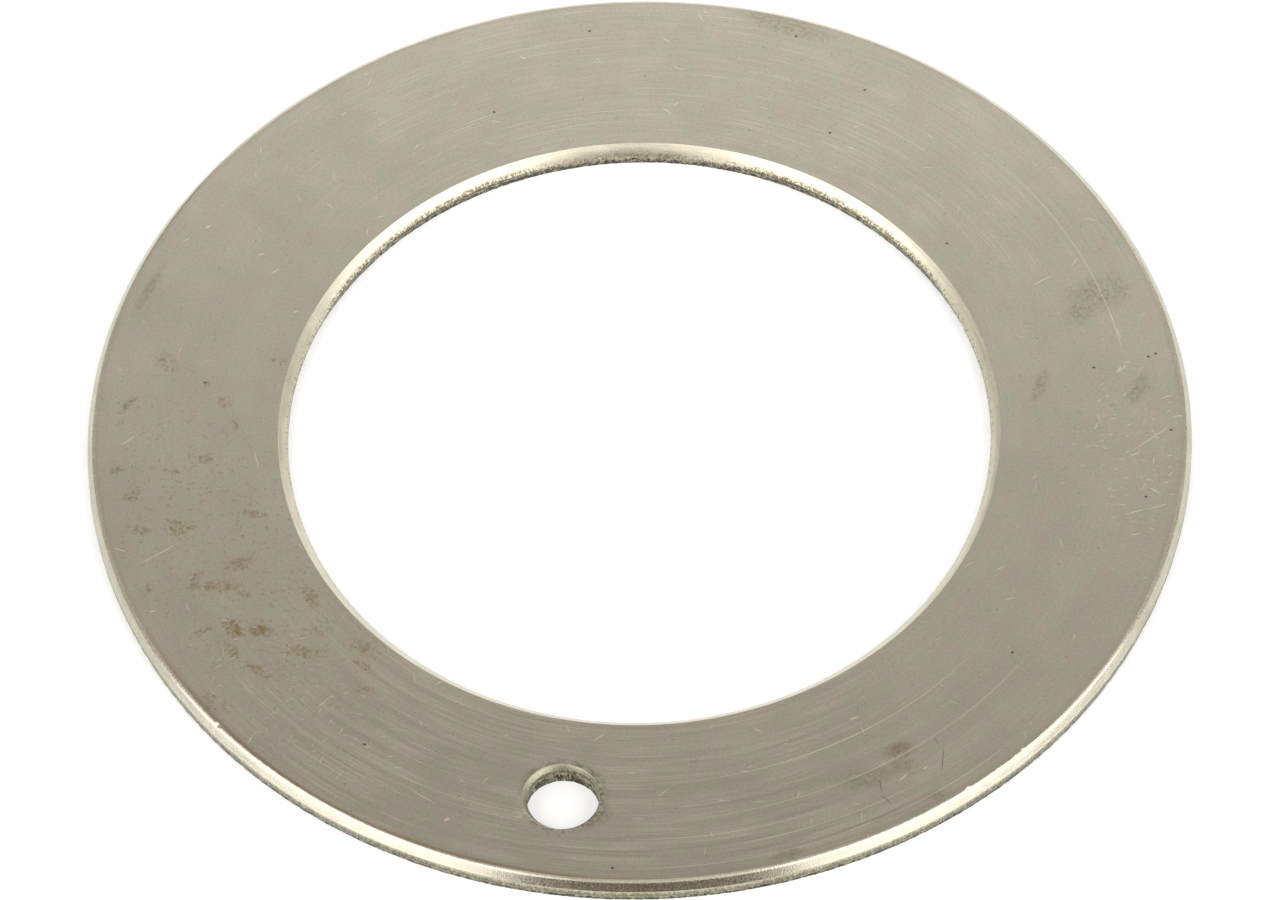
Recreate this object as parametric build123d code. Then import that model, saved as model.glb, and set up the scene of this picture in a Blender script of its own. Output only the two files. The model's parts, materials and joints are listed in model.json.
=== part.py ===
from build123d import *
from math import atan2, cos, degrees, hypot, radians, sin
import os

# Flat thrust washer: one piece of steel strip, blanked and pierced in one stroke,
# then ground on both faces. A plain ring with one small fixing hole.
# Frame: origin on the ring's axis in the lower face, +Z up, fixing hole on -Y.
# All lengths are in millimetres and all angles in degrees.

# Ring
outer_diameter = 66.0
bore_diameter = 42.0
thickness = 1.5

# Fixing hole, for a locating pin or a sunk screw, midway across the ring's face
hole_diameter = 4.2
hole_circle_diameter = (outer_diameter + bore_diameter) / 2

# Every cut edge has the section that a press tool leaves. From the upper face down:
# a rolled-over shoulder, a burnished land at full size, and a torn fracture that leans
# away into the metal. Grinding took the flat start of each shoulder off, so the
# shoulder leaves the face at a crisp edge, less steep than the line across it. It rolls
# round an arc into a straight flank, steeper than that line, and meets the land at a
# blunt corner. Flattening and steepening are those two angles from the line across.
rim_shoulder_width = 0.50
rim_shoulder_drop = 0.56
rim_start_flattening = 33.0
rim_flank_steepening = 8.5
rim_fracture_height = 0.47
rim_fracture_lean = 0.17

bore_shoulder_width = 0.59
bore_shoulder_drop = 0.62
bore_start_flattening = 10.5
bore_flank_steepening = 8.0
bore_fracture_height = 0.74
bore_fracture_lean = 0.23

hole_shoulder_width = 0.22
hole_shoulder_drop = 0.25
hole_start_flattening = 26.5
hole_flank_steepening = 5.0
hole_fracture_height = 0.97
hole_fracture_lean = 0.22

# Length of the hole's cutting shape above and below the washer
overrun = 1.0


def cut_edge(
    edge_diameter,
    metal_side,
    shoulder_width,
    shoulder_drop,
    start_flattening,
    flank_steepening,
    fracture_height,
    fracture_lean,
):
    """Draw one cut edge in the radius-height plane and return its upper and lower ends.

    metal_side is -1 where the metal lies inside the edge, as at the rim, and 1 where it
    lies outside, as at the bore and the hole. The roll's radius is the one whose arc turns
    from the start's slope to the flank's and leaves the rest of the shoulder to the flank.
    """
    edge_radius = edge_diameter / 2
    land_top = thickness - shoulder_drop
    upper_end = (edge_radius + metal_side * shoulder_width, thickness)
    lower_end = (edge_radius + metal_side * fracture_lean, 0)

    across_length = hypot(shoulder_width, shoulder_drop)
    start_slope = degrees(atan2(shoulder_drop, shoulder_width)) - start_flattening
    roll_turn = start_flattening + flank_steepening
    roll_radius = across_length * sin(radians(flank_steepening)) / (1 - cos(radians(roll_turn)))
    start_way = (-metal_side * cos(radians(start_slope)), -sin(radians(start_slope)))

    roll = JernArc(upper_end, start_way, roll_radius, metal_side * roll_turn)
    Polyline(roll @ 1, (edge_radius, land_top), (edge_radius, fracture_height), lower_end)
    return upper_end, lower_end


def ring():
    """The washer without its hole: its section between bore and rim, turned about Z."""
    with BuildPart() as turned:
        with BuildSketch(Plane.XZ):
            with BuildLine():
                rim_upper, rim_lower = cut_edge(
                    outer_diameter,
                    -1,
                    rim_shoulder_width,
                    rim_shoulder_drop,
                    rim_start_flattening,
                    rim_flank_steepening,
                    rim_fracture_height,
                    rim_fracture_lean,
                )
                bore_upper, bore_lower = cut_edge(
                    bore_diameter,
                    1,
                    bore_shoulder_width,
                    bore_shoulder_drop,
                    bore_start_flattening,
                    bore_flank_steepening,
                    bore_fracture_height,
                    bore_fracture_lean,
                )
                Line(bore_upper, rim_upper)
                Line(bore_lower, rim_lower)
            make_face()
        revolve(axis=Axis.Z)
    return turned.part


def pierced_hole():
    """The space of the fixing hole, turned about its own axis and run past both faces."""
    with BuildPart() as space:
        with BuildSketch(Plane.XZ):
            with BuildLine():
                upper, lower = cut_edge(
                    hole_diameter,
                    1,
                    hole_shoulder_width,
                    hole_shoulder_drop,
                    hole_start_flattening,
                    hole_flank_steepening,
                    hole_fracture_height,
                    hole_fracture_lean,
                )
                above = thickness + overrun
                Polyline(upper, (upper[0], above), (0, above), (0, -overrun), (lower[0], -overrun), lower)
            make_face()
        revolve(axis=Axis.Z)
    return space.part


def thrust_washer():
    """The ring with its fixing hole on -Y."""
    hole_place = Pos(0, -hole_circle_diameter / 2, 0)
    washer = ring() - hole_place * pierced_hole()
    washer.label = "thrust_washer"
    return washer


os.makedirs("parts", exist_ok=True)
export_step(thrust_washer(), "parts/thrust_washer.step")
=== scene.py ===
import json
from math import atan2, cos, hypot, pi, radians, sin

import bpy
import numpy as np
from mathutils import Matrix, Vector


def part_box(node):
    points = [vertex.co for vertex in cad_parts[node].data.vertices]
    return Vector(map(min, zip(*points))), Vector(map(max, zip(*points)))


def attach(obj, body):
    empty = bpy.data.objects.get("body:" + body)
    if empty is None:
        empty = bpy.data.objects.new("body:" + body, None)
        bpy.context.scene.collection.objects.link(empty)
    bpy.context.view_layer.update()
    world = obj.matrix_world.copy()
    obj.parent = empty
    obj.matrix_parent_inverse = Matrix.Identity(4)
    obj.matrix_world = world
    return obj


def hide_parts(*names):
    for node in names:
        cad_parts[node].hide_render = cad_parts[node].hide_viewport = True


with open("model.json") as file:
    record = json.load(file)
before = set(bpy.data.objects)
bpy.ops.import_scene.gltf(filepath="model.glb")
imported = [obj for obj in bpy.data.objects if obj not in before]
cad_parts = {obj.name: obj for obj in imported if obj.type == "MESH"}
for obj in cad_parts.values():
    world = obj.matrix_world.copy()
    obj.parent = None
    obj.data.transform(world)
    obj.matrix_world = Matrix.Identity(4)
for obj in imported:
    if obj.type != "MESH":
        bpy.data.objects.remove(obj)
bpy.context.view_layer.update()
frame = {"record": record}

# The washer's main sizes, read from the frame. Lengths are metres unless a name says mm.
MM = 0.001
low_corner, high_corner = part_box("thrust_washer")
mounts = {mount["name"]: mount for mount in frame["record"]["mounts"]}
RIM_RADIUS = (high_corner.x - low_corner.x) / 2
THICKNESS = high_corner.z - low_corner.z
BORE_RADIUS = mounts["bore"]["dims"]["r_mm"] * MM
HOLE_RADIUS = mounts["fixing_hole"]["dims"]["r_mm"] * MM
HOLE_CENTRE = -mounts["fixing_hole"]["pos_m"][1]

# The cut edges, as in the part's source: shoulder width and drop, fracture height and lean,
# and then in degrees how much flatter the shoulder starts, and how much steeper its flank
# is, than the straight line across the shoulder. The torn feet of the rim and of the fixing
# hole stand out further in the photo than the source's cones, so their leans are smaller.
RIM_EDGE = (0.50 * MM, 0.56 * MM, 0.47 * MM, 0.12 * MM, 33.0, 8.5)
BORE_EDGE = (0.59 * MM, 0.62 * MM, 0.74 * MM, 0.23 * MM, 10.5, 8.0)
HOLE_EDGE = (0.22 * MM, 0.25 * MM, 0.97 * MM, 0.06 * MM, 26.5, 5.0)

# The torn foot of every edge: how far apart its random changes lie round the edge, how far
# the break line strays from its height, and how deep the tears go
WAVE_SPACING = 1.9 * MM
WOBBLE_SPACING = 0.55 * MM
TOOTH_SPACING = 0.21 * MM
BREAK_REACH = 0.04 * MM
TEAR_SPACING = 0.34 * MM
NOTCH_SPACING = 0.13 * MM
HOLLOW_SPACING = 0.24 * MM
TEAR_DEPTH = 0.03 * MM
RANDOM_SEED = 66

# The punch leaned over in the fixing hole, so its shoulder is wider on one side
HOLE_SHIFT = -0.13 * MM

# Knocks on the rim's shoulder: place round the rim in degrees, width and depth
RIM_NICKS = [(-129.8, 0.12 * MM, 0.03 * MM), (-44.4, 0.14 * MM, 0.03 * MM), (-37.0, 0.10 * MM, 0.02 * MM)]

# Grid of the washer's surface. The window is the part of each face round the fixing hole
# that has a grid of its own: it reaches this far from the hole's middle, and its two sides
# between the ring's rows are cut into this many lengths.
ROUND_COUNT = 2160
ROLL_ROWS = 5
FLANK_ROWS = 2
SHOULDER_ROWS = ROLL_ROWS + FLANK_ROWS
LAND_ROWS = 2
FRACTURE_ROWS = 7
WINDOW = 3.6 * MM
SIDE_COUNT = 60
PATCH_ROWS = 3
SHARP_ANGLE = 18

# Zones of the surface, which are also the piece's material slots
FACE, RIM, BORE, HOLE, TORN = range(5)

# The photo's camera, in the part's frame. Angles are degrees; pixels are of the 1280 x 900 frame.
PHOTO_WIDTH = 1280
PHOTO_HEIGHT = 900
VIEW_AZIMUTH = 10.9
VIEW_ELEVATION = 53.63
VIEW_ROLL = -1.744
VIEW_DISTANCE = 0.6565
PIXELS_PER_METRE = 16741.0
FACE_CENTRE_PIXEL = (639.1, 428.3)
SENSOR_WIDTH_MM = 36.0

# Marks on the upper face, in mm: x, y, turn in degrees, half length and half width
SCRATCHES = [
    (27.9, 8.8, 55, 0.45, 0.04), (27.7, 8.7, 70, 0.35, 0.04), (28.1, 9.3, 20, 0.30, 0.04),
    (29.5, 2.6, 34, 0.40, 0.04), (31.1, 0.1, -27, 0.45, 0.05), (30.1, -1.6, 27, 0.80, 0.035),
    (31.4, -1.0, 27, 0.70, 0.035), (30.8, 7.1, 30, 0.50, 0.035), (31.7, 5.8, 15, 0.40, 0.035),
    (30.3, 3.9, 48, 1.90, 0.03), (22.2, 14.6, 41, 1.00, 0.03), (27.3, 11.4, -62, 0.55, 0.03),
    (-30.0, -5.5, 50, 0.65, 0.04), (-26.7, -13.5, 44, 2.00, 0.035), (-29.0, -13.5, -12, 0.50, 0.04),
    (-22.2, -5.7, -68, 0.90, 0.03), (-26.2, -17.6, 20, 0.25, 0.07), (-15.0, -22.5, 55, 0.80, 0.03),
    (19.4, -22.6, 58, 0.50, 0.05), (20.6, -21.7, 50, 0.28, 0.05), (10.5, -20.6, -20, 0.45, 0.04),
    (17.6, -26.3, 34, 1.05, 0.03), (1.4, -22.5, 48, 0.50, 0.035), (-8.1, -28.2, -26, 1.20, 0.04),
    (-6.4, -29.6, 40, 0.22, 0.08), (-28.3, 11.0, 40, 0.30, 0.06), (15.9, -18.9, 35, 0.35, 0.06),
]
HAIRS = [
    (20.9, -19.7, -50, 0.40, 0.05), (21.5, -21.0, -85, 1.10, 0.05), (18.2, -23.4, -70, 0.50, 0.06),
    (18.7, -24.3, -35, 0.55, 0.06),
]
STAINS = [
    (-30.6, -3.0, 60, 1.1, 0.4), (-30.8, -4.3, 60, 0.5, 0.3), (-24.8, -1.8, 0, 0.7, 0.6),
    (-23.9, -3.4, -70, 0.7, 0.3), (-25.2, -6.1, 0, 0.6, 0.5), (-27.0, -7.4, 0, 0.6, 0.3),
    (-30.3, -7.8, 60, 0.6, 0.4), (-29.0, -9.4, 60, 0.9, 0.6), (-21.6, -9.7, 0, 1.1, 0.4),
    (-25.9, -11.4, 10, 1.3, 0.7), (-28.1, -11.9, 0, 1.0, 0.5), (-21.7, -13.4, 30, 1.2, 0.7),
    (-24.1, -15.1, 80, 1.2, 0.5), (-22.6, -15.2, 10, 1.7, 0.6), (-21.0, -15.6, 0, 0.6, 0.5),
    (-26.8, -16.1, 70, 0.7, 0.4), (-17.1, -15.2, -60, 1.2, 0.6), (-21.2, -18.2, -45, 1.2, 0.7),
    (-19.6, -18.0, 0, 1.1, 0.7), (-23.0, -18.6, 40, 1.1, 0.4), (-21.0, -19.7, -40, 1.1, 0.5),
    (-16.9, -19.1, 0, 1.7, 0.6), (-13.2, -18.4, -30, 1.5, 0.8), (-13.2, -19.6, -30, 1.4, 0.4),
    (-19.2, -20.9, -30, 1.4, 0.5), (-21.4, -23.5, -30, 1.6, 0.9), (-12.9, -21.3, 10, 1.0, 0.4),
    (-28.9, 0.6, -40, 1.4, 0.7), (-26.2, -0.6, -60, 0.5, 0.3), (-22.3, 1.7, 0, 0.8, 0.5),
    (18.8, -20.7, 30, 1.0, 0.7),
]
RUST = [(-16.1, -17.2, -60, 1.1, 0.8), (-21.4, -18.1, -45, 0.9, 0.6), (-19.8, -18.0, 0, 0.7, 0.6)]
SMUDGES = [
    (25.7, 14.1, 30, 2.6, 1.7), (24.9, 12.8, 60, 1.6, 1.1), (29.0, 7.4, 80, 1.5, 0.7),
    (23.2, 6.8, 80, 1.6, 0.5), (18.9, -20.8, 30, 1.2, 0.9), (19.4, -21.8, 0, 1.1, 0.8),
    (17.2, -23.0, 20, 2.2, 0.9), (21.4, -23.6, 30, 0.9, 0.4), (4.0, 31.6, -10, 3.6, 0.9),
    (13.6, -28.9, 25, 1.2, 0.5), (2.4, -28.1, 50, 1.1, 0.7), (-30.9, 6.0, 75, 2.6, 0.4),
]

# The stretch of the face with the most oxide flecks, and the two with the most scratches
FLECKED = [(-22.0, -13.0, -52, 19.0, 9.0)]
WORN = [(29.0, 3.0, -75, 9.0, 4.5), (-17.0, -22.0, -35, 12.0, 5.0)]

# Pits in the upper face, in mm: x and y, and the half sizes that they share
PITS = [
    (3.7, -31.5), (-12.1, -25.1), (24.4, -12.8), (16.1, 16.5), (-12.7, 22.3), (7.8, 23.8),
    (4.6, 30.9), (29.3, 9.9), (29.7, 10.2), (26.2, 8.6), (30.6, -0.4), (31.4, 4.7),
    (-26.3, -0.6), (9.4, 27.4), (-8.0, 29.4),
]
PIT_HALF_LENGTH = 0.13
PIT_HALF_WIDTH = 0.10

# Stretches of the bore's far side where the dirt on the lower half of the wall is thickest
GRIME = [(10.2, 18.3, -29, 10.0, 3.5), (-16.3, 13.2, 51, 10.0, 3.5)]

# Deep grinding arcs: radius in mm, first and last place round the washer in degrees
GRINDING_ARCS = [
    (25.75, -82, -26), (28.4, -72, -24), (29.7, -84, -58), (31.7, -84, -33), (30.6, -70, -48),
    (29.5, 18, 50),
]

# Where heat and dirt tinted the face inside the rim, in degrees round the washer
TINT_PLACE = -112.0


def ripple(places, length, spacing, rng):
    """Smooth random curve round a closed loop, from -1 to 1: random heights at even knots about
    one spacing apart, joined by half cosines. places runs from 0 to 1 once round the length."""
    knots = int(length / spacing)
    heights = rng.uniform(-1, 1, knots)
    along = places * knots
    low = np.floor(along).astype(int)
    share = (1 - np.cos(pi * (along - low))) / 2
    return heights[low % knots] * (1 - share) + heights[(low + 1) % knots] * share


def s_curve(low, high, value):
    """0 below low, 1 above high, and a smooth s-curve between."""
    share = np.clip((value - low) / (high - low), 0, 1)
    return share * share * (3 - 2 * share)


def cut_edge(radius, metal_side, sizes, places, rng):
    """One cut edge as a grid of rows from the upper face down, each row once round.

    Shoulder: an arc of radius R from the start's slope a0 to the flank's, which lies at
    width - R (sin a - sin a0) from full size and R (cos a0 - cos a) below the face, and then
    a straight flank to the land. R is the one that leaves the flank its steepening. Land:
    upright, down to a wavy, toothed break line. Fracture: leans into the metal by its share
    of the way down, and is torn: each place has its own start, below which it lies deeper or
    less deep at random. Returns the radius, height and torn share of every grid point.
    """
    width, drop, fracture_height, lean, flattening, steepening = sizes
    length = 2 * pi * radius
    land_top = THICKNESS - drop
    level = 0 * places

    across = atan2(drop, width)
    start_slope, flank_slope = across - radians(flattening), across + radians(steepening)
    roll = hypot(width, drop) * sin(radians(steepening)) / (1 - cos(flank_slope - start_slope))
    angle = np.linspace(start_slope, flank_slope, ROLL_ROWS + 1)
    roll_out = width - roll * (np.sin(angle) - sin(start_slope))
    roll_z = THICKNESS - roll * (cos(start_slope) - np.cos(angle))
    down = np.linspace(0, 1, FLANK_ROWS + 1)[1:]
    flank_out = roll_out[-1] * (1 - down)
    flank_z = roll_z[-1] + (land_top - roll_z[-1]) * down
    shoulder_r = radius + metal_side * np.concatenate([roll_out, flank_out])[:, None] + level
    shoulder_z = np.concatenate([roll_z, flank_z])[:, None] + level

    wave = ripple(places, length, WAVE_SPACING, rng) + ripple(places, length, WOBBLE_SPACING, rng)
    teeth = ripple(places, length, TOOTH_SPACING, rng)
    break_line = fracture_height + BREAK_REACH * wave + BREAK_REACH * teeth
    land_share = np.linspace(0, 1, LAND_ROWS + 1)[1:, None]
    land_z = land_top + (break_line - land_top) * land_share
    land_r = radius + 0 * land_z

    down = np.linspace(0, 1, FRACTURE_ROWS + 1)[1:, None]
    tears = ripple(places, length, TEAR_SPACING, rng)
    notches = ripple(places, length, NOTCH_SPACING, rng)
    start = 0.14 + 0.12 * tears + 0.10 * notches
    torn = s_curve(start - 0.08, start + 0.22, down)
    hollows = ripple(places, length, HOLLOW_SPACING, rng)
    depth = TEAR_DEPTH * hollows * (1 - 0.5 * down)
    fracture_r = radius + metal_side * np.maximum(lean * down + depth * torn, 0)
    fracture_z = break_line * (1 - down)

    untorn = np.zeros((SHOULDER_ROWS + 1 + LAND_ROWS, len(places)))
    edge_r = np.concatenate([shoulder_r, land_r, fracture_r])
    edge_z = np.concatenate([shoulder_z, land_z, fracture_z])
    return edge_r, edge_z, np.concatenate([untorn, torn])


def edge_zones(burnished):
    """The zones of one cut edge's rows of faces, from the upper face down."""
    return [burnished] * (SHOULDER_ROWS + LAND_ROWS) + [TORN] * FRACTURE_ROWS


def strips(corners):
    """Quads between the rows of a grid of point numbers whose columns close on themselves."""
    after = np.roll(corners, -1, axis=1)
    return np.stack([corners[:-1], corners[1:], after[1:], after[:-1]], axis=-1)


def ring_grid(rng):
    """The profile rim, lower face, bore, upper face, carried round the axis:
    x = r cos a, y = r sin a. Returns the points as rows x columns x 3, and the torn shares."""
    places = np.arange(ROUND_COUNT) / ROUND_COUNT
    angle = 2 * pi * places - pi / 2
    rim_r, rim_z, rim_torn = cut_edge(RIM_RADIUS, -1, RIM_EDGE, places, rng)
    for nick, width, depth in RIM_NICKS:
        away = np.angle(np.exp(1j * (angle - radians(nick)))) * RIM_RADIUS / width
        dent = depth * np.exp(-(away**2))
        fade = np.linspace(1, 0, SHOULDER_ROWS + 1)[:, None]
        rim_r[: SHOULDER_ROWS + 1] -= dent * fade
        rim_z[1 : SHOULDER_ROWS + 1] -= dent * fade[1:]
    bore_r, bore_z, bore_torn = cut_edge(BORE_RADIUS, 1, BORE_EDGE, places, rng)
    face_r = HOLE_CENTRE + WINDOW * np.array([[1], [-1]]) + 0 * places
    level = 0 * face_r
    r = np.concatenate([rim_r, face_r, bore_r[::-1], face_r[::-1]])
    z = np.concatenate([rim_z, level, bore_z[::-1], level + THICKNESS])
    torn = np.concatenate([rim_torn, level, bore_torn[::-1], level])
    return np.stack([r * np.cos(angle), r * np.sin(angle), z], axis=-1), torn


def hole_grid(outline, rng):
    """The fixing hole's own surface, from the upper window's outline in to the hole, down its
    wall and out to the lower outline. Each column keeps one direction from the hole's axis."""
    centre = np.array([0, -HOLE_CENTRE])
    away = outline - centre
    direction = np.arctan2(away[:, 1], away[:, 0])
    places = direction / (2 * pi) % 1
    hole_r, hole_z, hole_torn = cut_edge(HOLE_RADIUS, 1, HOLE_EDGE, places, rng)
    shoulder_share = (hole_r - HOLE_RADIUS) / HOLE_EDGE[0] * (hole_z > THICKNESS - HOLE_EDGE[1])
    wall_x = hole_r * np.cos(direction) + HOLE_SHIFT * shoulder_share
    wall_y = hole_r * np.sin(direction) - HOLE_CENTRE
    share = np.linspace(0, 1, PATCH_ROWS + 1)[1:-1, None]
    upper_x = outline[:, 0] * (1 - share) + wall_x[0] * share
    upper_y = outline[:, 1] * (1 - share) + wall_y[0] * share
    lower_x = wall_x[-1] * (1 - share) + outline[:, 0] * share
    lower_y = wall_y[-1] * (1 - share) + outline[:, 1] * share
    x = np.concatenate([upper_x, wall_x, lower_x])
    y = np.concatenate([upper_y, wall_y, lower_y])
    z = np.concatenate([0 * upper_x + THICKNESS, hole_z, 0 * lower_x])
    flat = 0 * upper_x
    return np.stack([x, y, z], axis=-1), np.concatenate([flat, hole_torn, flat])


def washer_mesh():
    """The whole washer as one closed mesh: the ring with a window round the fixing hole left
    out of both faces, and the hole's surface joined to the outlines of the two windows."""
    rng = np.random.default_rng(RANDOM_SEED)
    ring, ring_torn = ring_grid(rng)
    rows = len(ring)
    number = np.arange(rows * ROUND_COUNT).reshape(rows, ROUND_COUNT)
    half = int(WINDOW / HOLE_CENTRE / (2 * pi) * ROUND_COUNT)
    rim_rows = SHOULDER_ROWS + LAND_ROWS + FRACTURE_ROWS + 1
    lower_outer, upper_inner = rim_rows, rows - 2

    columns = np.arange(-half, half + 1) % ROUND_COUNT
    side_share = np.linspace(0, 1, SIDE_COUNT + 1)[1:-1, None]
    outlines, side_points, count = [], [], rows * ROUND_COUNT
    for outer, inner in ((rows - 1, rows - 2), (lower_outer, lower_outer + 1)):
        right = ring[outer, columns[-1]] * (1 - side_share) + ring[inner, columns[-1]] * side_share
        left = ring[inner, columns[0]] * (1 - side_share) + ring[outer, columns[0]] * side_share
        right_number = count + np.arange(SIDE_COUNT - 1)
        left_number = right_number + SIDE_COUNT - 1
        inner_number = number[inner, columns[::-1]]
        outlines.append(np.concatenate([number[outer, columns], right_number, inner_number, left_number]))
        side_points += [right, left]
        count += 2 * (SIDE_COUNT - 1)
    points = np.concatenate([ring.reshape(-1, 3)] + side_points)

    hole, hole_torn = hole_grid(points[outlines[0]][:, :2], rng)
    hole_number = count + np.arange(hole.shape[0] * hole.shape[1]).reshape(hole.shape[:2])
    hole_number = np.concatenate([outlines[0][None], hole_number, outlines[1][None]])
    points = np.concatenate([points, hole.reshape(-1, 3)])
    torn = np.concatenate([ring_torn.ravel(), np.zeros(count - rows * ROUND_COUNT), hole_torn.ravel()])

    ring_quads = strips(np.concatenate([number, number[:1]]))
    zones = np.array(edge_zones(RIM) + [FACE] * 3 + edge_zones(BORE)[::-1] + [FACE] * 3)
    ring_zones = np.repeat(zones[:, None], ROUND_COUNT, axis=1)
    keep = np.ones(ring_zones.shape, bool)
    beside = np.arange(-half - 1, half + 1) % ROUND_COUNT
    keep[lower_outer, beside] = False
    keep[upper_inner, beside] = False
    hole_zones = [FACE] * PATCH_ROWS + edge_zones(HOLE) + [FACE] * PATCH_ROWS
    hole_quads = strips(hole_number)[:, :, ::-1]
    faces = ring_quads[keep].tolist() + hole_quads.reshape(-1, 4).tolist()
    face_zones = ring_zones[keep].tolist() + np.repeat(hole_zones, hole_number.shape[1]).tolist()

    sides = 2 * half + 1
    windows = ((outlines[0], rows - 1, rows - 2, 1), (outlines[1], lower_outer, lower_outer + 1, -1))
    for outline, outer, inner, turn in windows:
        right_side = outline[sides - 1 : sides + SIDE_COUNT]
        left_side = np.append(outline[2 * sides + SIDE_COUNT - 2 :], outline[0])
        right_face = np.concatenate([right_side, [number[inner, half + 1], number[outer, half + 1]]])
        left_face = np.concatenate([left_side, [number[outer, -half - 1], number[inner, -half - 1]]])
        faces += [right_face[::turn].tolist(), left_face[::turn].tolist()]
        face_zones += [FACE, FACE]

    mesh = bpy.data.meshes.new("washer")
    mesh.from_pydata(points.tolist(), [], faces)
    mesh.polygons.foreach_set("material_index", np.array(face_zones, np.int32))
    mesh.attributes.new("torn", "FLOAT", "POINT").data.foreach_set("value", torn.astype(np.float32))
    mesh.shade_smooth()
    mesh.set_sharp_from_angle(angle=radians(SHARP_ANGLE))
    mesh.update()
    return mesh


def linear(hex_colour):
    """An sRGB hex colour as linear red, green, blue and alpha."""
    channels = [int(hex_colour[place : place + 2], 16) / 255 for place in (1, 3, 5)]
    return [c / 12.92 if c <= 0.04045 else ((c + 0.055) / 1.055) ** 2.4 for c in channels] + [1.0]


def add(tree, kind, inputs=(), outlet=0, **settings):
    """Add a shader node and return one of its outputs. inputs are the values of its sockets,
    in order or by name, and each is a plain value or another node's output."""
    made = tree.nodes.new("ShaderNode" + kind)
    for name, value in settings.items():
        setattr(made, name, value)
    sockets = [socket for socket in made.inputs if socket.enabled]
    named = {socket.name: socket for socket in reversed(sockets)}
    pairs = zip(sockets, inputs)
    if isinstance(inputs, dict):
        pairs = [(named[name], inputs[name]) for name in inputs]
    for socket, value in pairs:
        if isinstance(value, bpy.types.NodeSocket):
            tree.links.new(value, socket)
        else:
            socket.default_value = value
    return [socket for socket in made.outputs if socket.enabled][outlet]


def new_material(name, metallic=1.0):
    """A material with its node tree and shader, a metal unless told otherwise."""
    material = bpy.data.materials.new(name)
    material.use_nodes = True
    shader = material.node_tree.nodes["Principled BSDF"]
    shader.inputs["Metallic"].default_value = metallic
    return material, material.node_tree, shader


def spot_in_mm(tree):
    """The place on the washer, from its Object coordinates, in millimetres of its own frame."""
    place = add(tree, "TexCoord", outlet=3)
    return add(tree, "VectorMath", {"Vector": place, "Scale": 1 / MM}, operation="SCALE")


def polar(tree, spot):
    """The distance from the axis in mm, and the direction from it as a flat unit vector."""
    flat = add(tree, "VectorMath", [spot, (1, 1, 0)], operation="MULTIPLY")
    radius = add(tree, "VectorMath", [flat], operation="LENGTH")
    return radius, add(tree, "VectorMath", [flat], operation="NORMALIZE")


def arc_noise(tree, radius, way, length, width, detail):
    """Noise drawn out along circles about the axis, with no seam. It is read on a cylinder,
    whose turn is stretched to a mark's length and whose rise to its width, both in mm."""
    turn = add(tree, "VectorMath", {"Vector": way, "Scale": HOLE_CENTRE / MM / length}, operation="SCALE")
    rise = add(tree, "CombineXYZ", [0.0, 0.0, add(tree, "Math", [radius, 1 / width], operation="MULTIPLY")])
    place = add(tree, "VectorMath", [turn, rise], operation="ADD")
    return add(tree, "TexNoise", {"Vector": place, "Scale": 1.0, "Detail": detail})


def ramp(tree, value, low, high, at_low=0.0, at_high=1.0):
    """A smooth step of a value from one level to another."""
    return add(tree, "MapRange", [value, low, high, at_low, at_high], interpolation_type="SMOOTHSTEP")


def swing(tree, value, reach, base):
    """A noise of 0 to 1 as a change of that reach either way about a base."""
    return add(tree, "Math", [value, 2 * reach, base - reach], operation="MULTIPLY_ADD")


def tint(tree, share, colour, hex_colour):
    """A share of one colour laid over another."""
    return add(tree, "Mix", [share, colour, linear(hex_colour)], data_type="RGBA")


def marks(tree, spot, ellipses, core):
    """1 inside any of the ellipses (x, y, turn, half length, half width), falling to 0 at
    their outlines. core is the share of an ellipse that is fully inside."""
    found = 0.0
    for x, y, turn, half_length, half_width in ellipses:
        away = add(tree, "VectorMath", [spot, (x, y, 0)], operation="SUBTRACT")
        c, s = cos(radians(turn)), sin(radians(turn))
        long_way = (c / half_length, s / half_length, 0)
        short_way = (-s / half_width, c / half_width, 0)
        along = add(tree, "VectorMath", [away, long_way], operation="DOT_PRODUCT")
        across = add(tree, "VectorMath", [away, short_way], operation="DOT_PRODUCT")
        squares = add(tree, "Math", [along, along], operation="MULTIPLY")
        squares = add(tree, "Math", [across, across, squares], operation="MULTIPLY_ADD")
        inside = ramp(tree, squares, core**2, 1.0, 1.0, 0.0)
        found = add(tree, "Math", [found, inside], operation="MAXIMUM")
    return found


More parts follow.
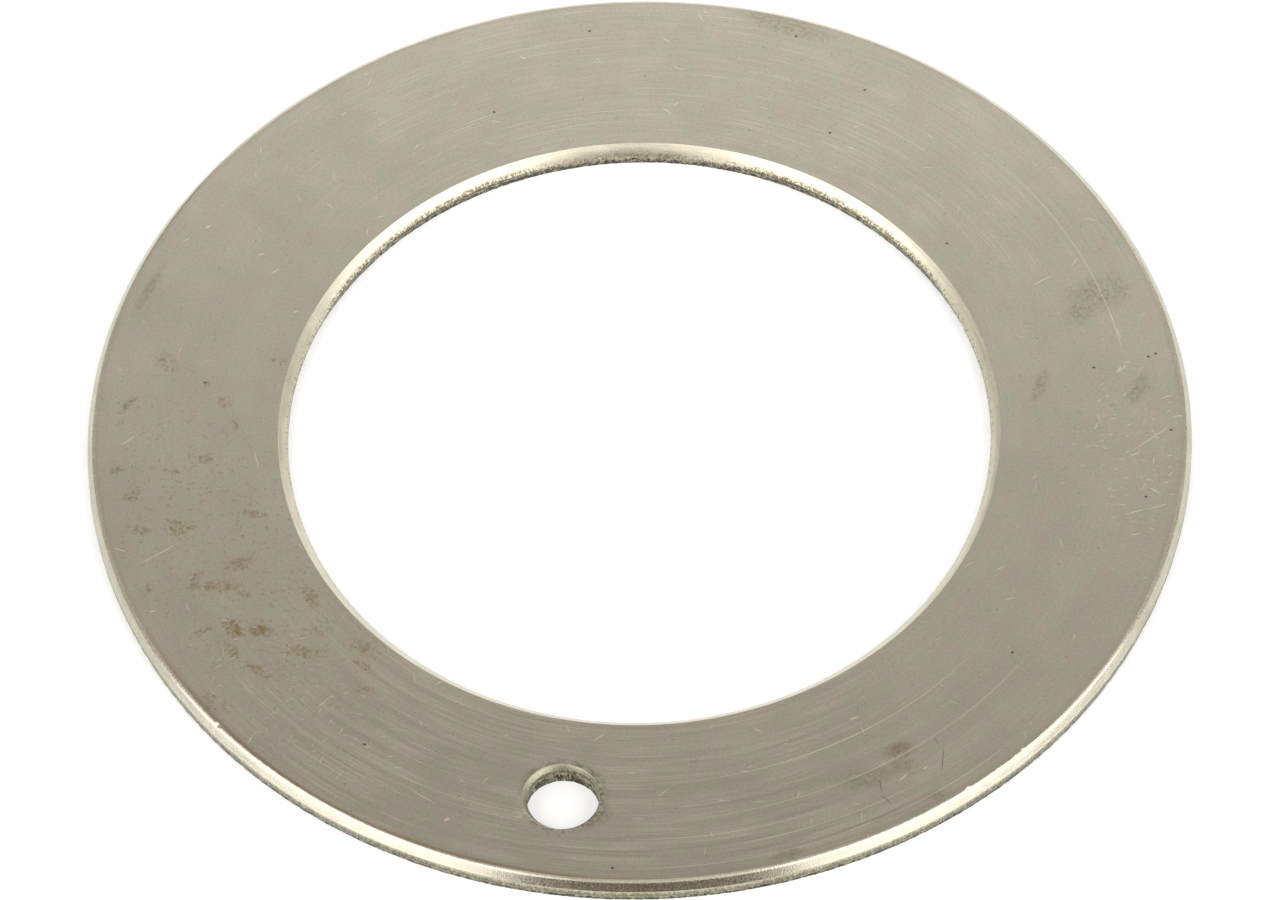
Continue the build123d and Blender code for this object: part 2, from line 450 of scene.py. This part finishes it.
def dashes(tree, spot, spacing, half_length, half_width, share, seed, turn=0, spread=360):
    """Short straight marks, at most one in each cell of a random net. Each has its own length
    and strength, and its own turn, at most half of spread away from turn, in degrees. Sizes
    are mm, and share is the part of the cells that hold a mark."""
    place = add(tree, "VectorMath", [spot, (1 / spacing, 1 / spacing, 0)], operation="MULTIPLY")
    place = add(tree, "VectorMath", [place, (seed, 2.7 * seed, 0)], operation="ADD")
    cell = add(tree, "TexVoronoi", {"Vector": place, "Scale": 1.0}, outlet=2, voronoi_dimensions="2D")
    dice = add(tree, "SeparateColor", [cell.node.outputs["Color"]]).node.outputs
    away = add(tree, "VectorMath", [place, cell], operation="SUBTRACT")
    most = radians(spread / 2 - turn)
    angle = add(tree, "Math", [dice[0], -radians(spread), most], operation="MULTIPLY_ADD")
    away = add(tree, "VectorRotate", {"Vector": away, "Angle": angle}, rotation_type="Z_AXIS")
    reach = half_length / spacing
    reach = add(tree, "Math", [dice[1], 0.7 * reach, 0.3 * reach], operation="MULTIPLY_ADD")
    local = add(tree, "CombineXYZ", [reach, half_width / spacing, 1.0])
    away = add(tree, "VectorMath", [away, local], operation="DIVIDE")
    inside = ramp(tree, add(tree, "VectorMath", [away], operation="LENGTH"), 0.4, 1.0, 1.0, 0.0)
    strength = add(tree, "Math", [dice[2], -1 / share, 1.0], operation="MULTIPLY_ADD", use_clamp=True)
    return add(tree, "Math", [inside, strength], operation="MULTIPLY")


def ground_face():
    """Bearing steel ground flat on a turning table: fine arcs about the axis, with a painted sheen
    that draws them stronger on the near and far sides of the face, where the light falls across
    them, a few deep ones, and years of small scratches, pits, oxide flecks and finger marks; the
    scratches and arcs get a pale tint that is partly a painted highlight of the glint they catch.
    Gives a dull warm grey sheen that follows the large lights."""
    material, tree, shader = new_material("ground_bearing_steel")
    spot = spot_in_mm(tree)
    radius, way = polar(tree, spot)

    cloud = add(tree, "TexNoise", {"Vector": spot, "Scale": 0.30, "Detail": 3.0})
    mottle = add(tree, "TexNoise", {"Vector": spot, "Scale": 0.9, "Detail": 3.0})
    speckle = add(tree, "TexNoise", {"Vector": spot, "Scale": 6.0, "Detail": 3.0, "Roughness": 0.7})
    colour = tint(tree, ramp(tree, mottle, 0.35, 0.65), linear("#c1bbaf"), "#bdbdad")

    # Real grinding lines are about 0.02 mm apart, too fine to show, so these are coarser
    sides = add(tree, "SeparateXYZ", [way]).node.outputs
    # Painted sheen: the lines are drawn stronger on the near and far sides of the face, where the side
    # lights fall across them, and fainter at the left and right, in place of the sheen the lights would give
    # them
    lines_sheen_mask = ramp(tree, add(tree, "Math", [sides[1]], operation="ABSOLUTE"), 0.30, 0.95, 0.2, 1.0)
    patches = ramp(tree, cloud, 0.35, 0.60, 0.5, 1.0)
    lines_sheen_mask = add(tree, "Math", [lines_sheen_mask, patches], operation="MULTIPLY")
    broad = arc_noise(tree, radius, way, 14.0, 0.60, 2.0)
    fine = arc_noise(tree, radius, way, 7.0, 0.11, 2.0)
    grain = add(tree, "Math", [broad, 0.25, fine], operation="MULTIPLY_ADD")
    grain = add(tree, "Math", [grain, 0.625], operation="SUBTRACT")
    grain = add(tree, "Math", [grain, lines_sheen_mask], operation="MULTIPLY")

    # The net of the arcs is unrolled round the washer, and 20 times finer across than along
    turn = add(tree, "Math", [sides[1], sides[0]], operation="ARCTAN2")
    unrolled = add(tree, "Math", [turn, HOLE_CENTRE / MM], operation="MULTIPLY")
    finer = add(tree, "Math", [radius, 20.0], operation="MULTIPLY")
    unrolled = add(tree, "CombineXYZ", [unrolled, finer, 0.0])
    arcs = dashes(tree, unrolled, 6.0, 4.5, 0.6, 0.6, 4.2, 0, 0)
    faint = dashes(tree, unrolled, 3.4, 2.8, 0.5, 0.8, 7.9, 0, 0)
    faint = add(tree, "Math", [faint, 0.6], operation="MULTIPLY")
    arcs = add(tree, "Math", [faint, arcs], operation="MAXIMUM")
    arcs = add(tree, "Math", [arcs, lines_sheen_mask], operation="MULTIPLY")

    deep = 0.0
    for arc_radius, first, last in GRINDING_ARCS:
        off = add(tree, "Math", [radius, arc_radius], operation="SUBTRACT")
        line = ramp(tree, add(tree, "Math", [off], operation="ABSOLUTE"), 0.01, 0.05, 1.0, 0.0)
        off = add(tree, "Math", [turn, radians((first + last) / 2)], operation="SUBTRACT")
        off = add(tree, "Math", [off], operation="ABSOLUTE")
        reach = radians((last - first) / 2)
        line = add(tree, "Math", [line, ramp(tree, off, 0.6 * reach, reach, 1.0, 0.0)], operation="MULTIPLY")
        deep = add(tree, "Math", [deep, line], operation="MAXIMUM")
    deep = add(tree, "Math", [deep, ramp(tree, fine, 0.25, 0.60, 0.3, 1.0)], operation="MULTIPLY")
    arcs = add(tree, "Math", [arcs, deep], operation="MAXIMUM")

    tone = swing(tree, speckle, 0.22, 1.0)
    tone = add(tree, "Math", [tone, swing(tree, cloud, 0.10, 0.0)], operation="ADD")
    tone = add(tree, "Math", [grain, 0.24, tone], operation="MULTIPLY_ADD")
    colour = add(tree, "VectorMath", {"Vector": colour, "Scale": tone}, operation="SCALE")

    # Oxide: flecks of a fine noise, far denser inside the stains and in the sector round them
    sector = marks(tree, spot, FLECKED, 0.2)
    thick = marks(tree, spot, STAINS, 0.1)
    fleck = add(tree, "TexNoise", {"Vector": spot, "Scale": 3.8, "Detail": 4.0, "Roughness": 0.7})
    fleck = add(tree, "Math", [thick, 0.15, fleck], operation="MULTIPLY_ADD")
    fleck = add(tree, "Math", [sector, 0.08, fleck], operation="MULTIPLY_ADD")
    oxide = ramp(tree, fleck, 0.60, 0.84)
    film = add(tree, "Math", [thick, 0.06], operation="MULTIPLY")
    oxide_share = add(tree, "Math", [oxide, 0.6, film], operation="MULTIPLY_ADD")
    colour = tint(tree, oxide_share, colour, "#7d673e")
    rusted = ramp(tree, fleck, 0.50, 0.80)
    rust = add(tree, "Math", [marks(tree, spot, RUST, 0.2), rusted], operation="MULTIPLY")
    colour = tint(tree, add(tree, "Math", [rust, 0.6], operation="MULTIPLY"), colour, "#8a7340")

    smeared = ramp(tree, fleck, 0.28, 0.72)
    smudge = add(tree, "Math", [marks(tree, spot, SMUDGES, 0.0), smeared], operation="MULTIPLY")
    colour = tint(tree, add(tree, "Math", [smudge, 0.42], operation="MULTIPLY"), colour, "#766747")

    # Dirt caught round the fixing hole's ragged edge
    off = add(tree, "VectorMath", [spot, (0, -HOLE_CENTRE / MM, THICKNESS / MM)], operation="SUBTRACT")
    off = add(tree, "VectorMath", [off], operation="LENGTH")
    hole_mm = HOLE_RADIUS / MM
    near_hole = ramp(tree, off, hole_mm + 0.15, hole_mm + 0.75, 1.0, 0.0)
    fringe = add(tree, "Math", [near_hole, ramp(tree, fleck, 0.42, 0.60)], operation="MULTIPLY")
    colour = tint(tree, add(tree, "Math", [fringe, 0.6], operation="MULTIPLY"), colour, "#5d5540")

    # A straw tint just inside the rim, left by the heat and dirt of the edge
    rim_mm = RIM_RADIUS / MM
    beside = radians(TINT_PLACE)
    tinted = add(tree, "VectorMath", [way, (cos(beside), sin(beside), 0)], operation="DOT_PRODUCT")
    tinted = ramp(tree, tinted, 0.80, 0.97, 0.12, 0.6)
    near_rim = ramp(tree, radius, rim_mm - 0.85, rim_mm - 0.50)
    tinted = add(tree, "Math", [tinted, near_rim], operation="MULTIPLY")
    colour = tint(tree, tinted, colour, "#94774c")

    # Scratches and grinding arcs are real marks; their pale tint is partly a painted highlight, standing in
    # for the glint their sides catch from the side lights
    worn = marks(tree, spot, WORN, 0.3)
    common = dashes(tree, spot, 1.9, 0.55, 0.035, 0.35, 3.1)
    crowded = dashes(tree, spot, 0.7, 0.34, 0.035, 0.85, 8.4, 27, 90)
    crowded = add(tree, "Math", [crowded, worn], operation="MULTIPLY")
    scratch_and_glint = add(tree, "Math", [common, crowded], operation="MAXIMUM")
    scratch_and_glint = add(tree, "Math", [scratch_and_glint, marks(tree, spot, SCRATCHES, 0.3)], operation="MAXIMUM")
    scratch_and_glint = add(tree, "Math", [arcs, 0.6, scratch_and_glint], operation="MULTIPLY_ADD", use_clamp=True)
    colour = tint(tree, scratch_and_glint, colour, "#efe9d8")

    dots = dashes(tree, spot, 1.7, 0.10, 0.06, 0.5, 5.7)
    dots = add(tree, "Math", [dots, 0.6], operation="MULTIPLY")
    hairs = add(tree, "Math", [marks(tree, spot, HAIRS, 0.2), 0.5], operation="MULTIPLY")
    pit = marks(tree, spot, [(x, y, 0, PIT_HALF_LENGTH, PIT_HALF_WIDTH) for x, y in PITS], 0.3)
    pit = add(tree, "Math", [pit, dots], operation="MAXIMUM")
    pit = add(tree, "Math", [pit, hairs], operation="MAXIMUM")
    colour = tint(tree, add(tree, "Math", [pit, 0.85], operation="MULTIPLY"), colour, "#4f4537")

    roughness = add(tree, "Math", [grain, 0.20, 0.40], operation="MULTIPLY_ADD")
    roughness = add(tree, "Math", [oxide, 0.15, roughness], operation="MULTIPLY_ADD")
    tree.links.new(colour, shader.inputs["Base Color"])
    tree.links.new(roughness, shader.inputs["Roughness"])
    return material


def burnished_steel(name, colours, dirty_foot, land_top, roughness):
    """Steel rolled over and wiped smooth by the press tool: a bright shoulder that mirrors the
    lights softly, with fine lines drawn round it, and below it a land with upright scores and
    dirt that thickens downwards, most of all in the stretches that GRIME lists. colours are the
    shoulder's and the land's, land_top is the height where they meet, and dirty_foot is how far
    the dirt climbs above it, both in mm."""
    material, tree, shader = new_material(name)
    spot = spot_in_mm(tree)
    height = add(tree, "SeparateXYZ", [spot], outlet=2)
    way = polar(tree, spot)[1]
    on_land = ramp(tree, height, land_top - 0.02, land_top + 0.03, 1.0, 0.0)
    colour = tint(tree, on_land, linear(colours[0]), colours[1])

    upright = add(tree, "VectorMath", [spot, (1, 1, 0.15)], operation="MULTIPLY")
    scores = add(tree, "TexNoise", {"Vector": upright, "Scale": 6.0, "Detail": 2.0})
    speckle = add(tree, "TexNoise", {"Vector": spot, "Scale": 9.0, "Detail": 2.0})
    cloud = add(tree, "TexNoise", {"Vector": spot, "Scale": 0.8, "Detail": 2.0})
    drawn = arc_noise(tree, height, way, 2.5, 0.06, 2.0)
    strength = add(tree, "Math", [on_land, 0.9], operation="MULTIPLY")
    scored = add(tree, "Math", [scores, 0.5], operation="SUBTRACT")
    tone = add(tree, "Math", [scored, strength], operation="MULTIPLY")
    tone = add(tree, "Math", [tone, swing(tree, cloud, 0.15, 1.0)], operation="ADD")
    tone = add(tree, "Math", [tone, swing(tree, speckle, 0.20, 0.0)], operation="ADD")
    strength = add(tree, "Math", [on_land, -0.35, 0.45], operation="MULTIPLY_ADD")
    lines = add(tree, "Math", [drawn, 0.5], operation="SUBTRACT")
    tone = add(tree, "Math", [lines, strength, tone], operation="MULTIPLY_ADD")
    colour = add(tree, "VectorMath", {"Vector": colour, "Scale": tone}, operation="SCALE")

    dirt_top = land_top + dirty_foot
    streaks = add(tree, "VectorMath", [spot, (1, 1, 0.4)], operation="MULTIPLY")
    dirt = add(tree, "TexNoise", {"Vector": streaks, "Scale": 8.0, "Detail": 4.0, "Roughness": 0.7})
    thicker = ramp(tree, height, land_top - 0.4, dirt_top, 0.14, -0.06)
    dirt = add(tree, "Math", [dirt, thicker], operation="ADD")
    grime = marks(tree, spot, GRIME, 0.6)
    dirt = add(tree, "Math", [grime, 0.10, dirt], operation="MULTIPLY_ADD")
    below = ramp(tree, height, dirt_top - 0.18, dirt_top + 0.04, 1.0, 0.0)
    dirt = add(tree, "Math", [ramp(tree, dirt, 0.44, 0.66), below], operation="MULTIPLY")
    strength = add(tree, "Math", [grime, 0.17, 0.75], operation="MULTIPLY_ADD")
    colour = tint(tree, add(tree, "Math", [dirt, strength], operation="MULTIPLY"), colour, "#59533e")

    rough = swing(tree, speckle, 0.12, roughness)
    rough = add(tree, "Math", [on_land, 0.12, rough], operation="MULTIPLY_ADD")
    relief = add(tree, "Math", [scores, on_land, speckle], operation="MULTIPLY_ADD")
    bump = add(tree, "Bump", {"Strength": 0.5, "Distance": 0.010 * MM, "Height": relief})
    tree.links.new(colour, shader.inputs["Base Color"])
    tree.links.new(rough, shader.inputs["Roughness"])
    tree.links.new(bump, shader.inputs["Normal"])
    return material


def torn_steel():
    """Steel torn apart below the burnished land: rough grey grain with dark hollows, darker where
    the wall is torn. The dark is partly dirt and oxide kept in the hollows and partly painted
    shade, for the shade the downward-facing torn foot gets near the floor. Gives the ragged dark
    foot of every edge."""
    material, tree, shader = new_material("torn_steel_fracture")
    spot = spot_in_mm(tree)
    torn = add(tree, "Attribute", outlet=2, attribute_name="torn")
    upright = add(tree, "VectorMath", [spot, (1, 1, 0.35)], operation="MULTIPLY")
    grain = add(tree, "TexNoise", {"Vector": upright, "Scale": 5.0, "Detail": 4.0, "Roughness": 0.7})
    # Painted shade in part: the torn share darkens the colour, standing in for the shade under the leaning
    # fracture, along with real dirt in its hollows
    dark_grain_and_shade = add(tree, "Math", [torn, 0.12, grain], operation="MULTIPLY_ADD")
    dark_grain_and_shade = ramp(tree, dark_grain_and_shade, 0.47, 0.68)
    colour = tint(tree, dark_grain_and_shade, linear("#a8a286"), "#363122")
    bump = add(tree, "Bump", {"Strength": 0.8, "Distance": 0.03 * MM, "Height": grain})
    shader.inputs["Roughness"].default_value = 0.5
    tree.links.new(colour, shader.inputs["Base Color"])
    tree.links.new(bump, shader.inputs["Normal"])
    return material


def washer():
    """The one piece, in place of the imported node."""
    piece = bpy.data.objects.new("ground_washer", washer_mesh())
    bpy.context.scene.collection.objects.link(piece)
    rim_top, bore_top, hole_top = [(THICKNESS - edge[1]) / MM for edge in (RIM_EDGE, BORE_EDGE, HOLE_EDGE)]
    finishes = [
        ground_face(),
        burnished_steel("burnished_steel_rim", ("#b9b4a4", "#b4b09b"), 0.0, rim_top, 0.24),
        burnished_steel("burnished_steel_bore", ("#c9c4b2", "#b2ad96"), 0.30, bore_top, 0.36),
        burnished_steel("burnished_steel_hole", ("#a3a18c", "#9b9983"), 0.20, hole_top, 0.48),
        torn_steel(),
    ]
    for finish in finishes:
        piece.data.materials.append(finish)
    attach(piece, "root")
    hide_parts("thrust_washer")


def view_axes(azimuth, elevation):
    """Right, up and back of a camera at these angles, with azimuth 0 looking along +Y."""
    turn, rise = radians(azimuth), radians(elevation)
    back = Vector((sin(turn) * cos(rise), -cos(turn) * cos(rise), sin(rise)))
    right = Vector((cos(turn), sin(turn), 0))
    return right, back.cross(right), back


def camera():
    """The photo's camera: far away with a long lens, aimed so that the upper face's centre
    falls on its pixel, and rolled a little."""
    right, up, back = view_axes(VIEW_AZIMUTH, VIEW_ELEVATION)
    roll = radians(VIEW_ROLL)
    across = right * cos(roll) + up * sin(roll)
    upward = up * cos(roll) - right * sin(roll)
    place = Vector((0, 0, THICKNESS)) + back * VIEW_DISTANCE
    pixels_off = (PHOTO_WIDTH / 2 - FACE_CENTRE_PIXEL[0], FACE_CENTRE_PIXEL[1] - PHOTO_HEIGHT / 2)
    target = Vector((0, 0, THICKNESS)) + (across * pixels_off[0] + upward * pixels_off[1]) / PIXELS_PER_METRE
    ahead = (target - place).normalized()
    across = ahead.cross(upward).normalized()
    upward = across.cross(ahead)

    data = bpy.data.cameras.new("photo_camera")
    data.sensor_width = SENSOR_WIDTH_MM
    data.lens = PIXELS_PER_METRE * VIEW_DISTANCE * SENSOR_WIDTH_MM / PHOTO_WIDTH
    data.clip_start, data.clip_end = 0.01, 10.0
    made = bpy.data.objects.new("photo_camera", data)
    made.matrix_world = Matrix.Translation(place) @ Matrix((across, upward, -ahead)).transposed().to_4x4()
    bpy.context.scene.collection.objects.link(made)
    bpy.context.scene.camera = made


def panel(name, azimuth, reach, height, lean, width, tall, brightness):
    """A flat soft white light. It stands at an azimuth counted from the camera's and at a reach
    from the axis, with its middle at a height. lean is 0 for upright and 90 for facing the
    floor, and brightness times pi and the panel's area is its power in watts."""
    right, up, back = view_axes(VIEW_AZIMUTH + azimuth, lean)
    outward = view_axes(VIEW_AZIMUTH + azimuth, 0)[2]
    data = bpy.data.lights.new(name, "AREA")
    data.shape = "RECTANGLE"
    data.size, data.size_y = width, tall
    data.energy = brightness * pi * width * tall
    made = bpy.data.objects.new(name, data)
    place = outward * reach + Vector((0, 0, height))
    made.matrix_world = Matrix.Translation(place) @ Matrix((right, up, back)).transposed().to_4x4()
    bpy.context.scene.collection.objects.link(made)


def studio():
    """A pale paper floor, lit a little from below as on a light table, a dim warm surround and
    soft panels: two bright ones beside the camera, wide ones overhead and in front, a low one
    on the far side, and dimmer ones between."""
    half = 2.0
    corners = [(-half, -half, 0), (half, -half, 0), (half, half, 0), (-half, half, 0)]
    mesh = bpy.data.meshes.new("floor")
    mesh.from_pydata(corners, [], [(0, 1, 2, 3)])
    floor = bpy.data.objects.new("floor", mesh)
    bpy.context.scene.collection.objects.link(floor)
    material, _, shader = new_material("pale_paper", metallic=0.0)
    shader.inputs["Base Color"].default_value = linear("#d9dbdd")
    shader.inputs["Roughness"].default_value = 0.9
    shader.inputs["Emission Color"].default_value = linear("#ffffff")
    shader.inputs["Emission Strength"].default_value = 0.40
    mesh.materials.append(material)

    world = bpy.data.worlds.new("surround")
    world.use_nodes = True
    background = world.node_tree.nodes["Background"]
    background.inputs["Color"].default_value = linear("#796b5e")
    bpy.context.scene.world = world

    panel("left_panel", -57, 0.55, 0.50, 0, 0.71, 0.96, 2.4)
    panel("right_panel", 57, 0.55, 0.50, 0, 0.75, 0.96, 2.4)
    panel("overhead_panel", 0, 0.225, 0.75, 90, 1.20, 0.45, 0.70)
    panel("front_panel", 0, 0.75, 0.75, 90, 1.20, 0.60, 0.80)
    panel("far_panel", 173, 0.22, 0.125, 0, 0.28, 0.25, 1.4)
    panel("rear_left_panel", -123, 0.45, 0.36, 0, 0.48, 0.70, 0.55)
    panel("rear_right_panel", 117, 0.45, 0.36, 0, 0.40, 0.70, 0.60)
    bpy.context.scene.view_settings.view_transform = "Standard"


washer()
camera()
studio()
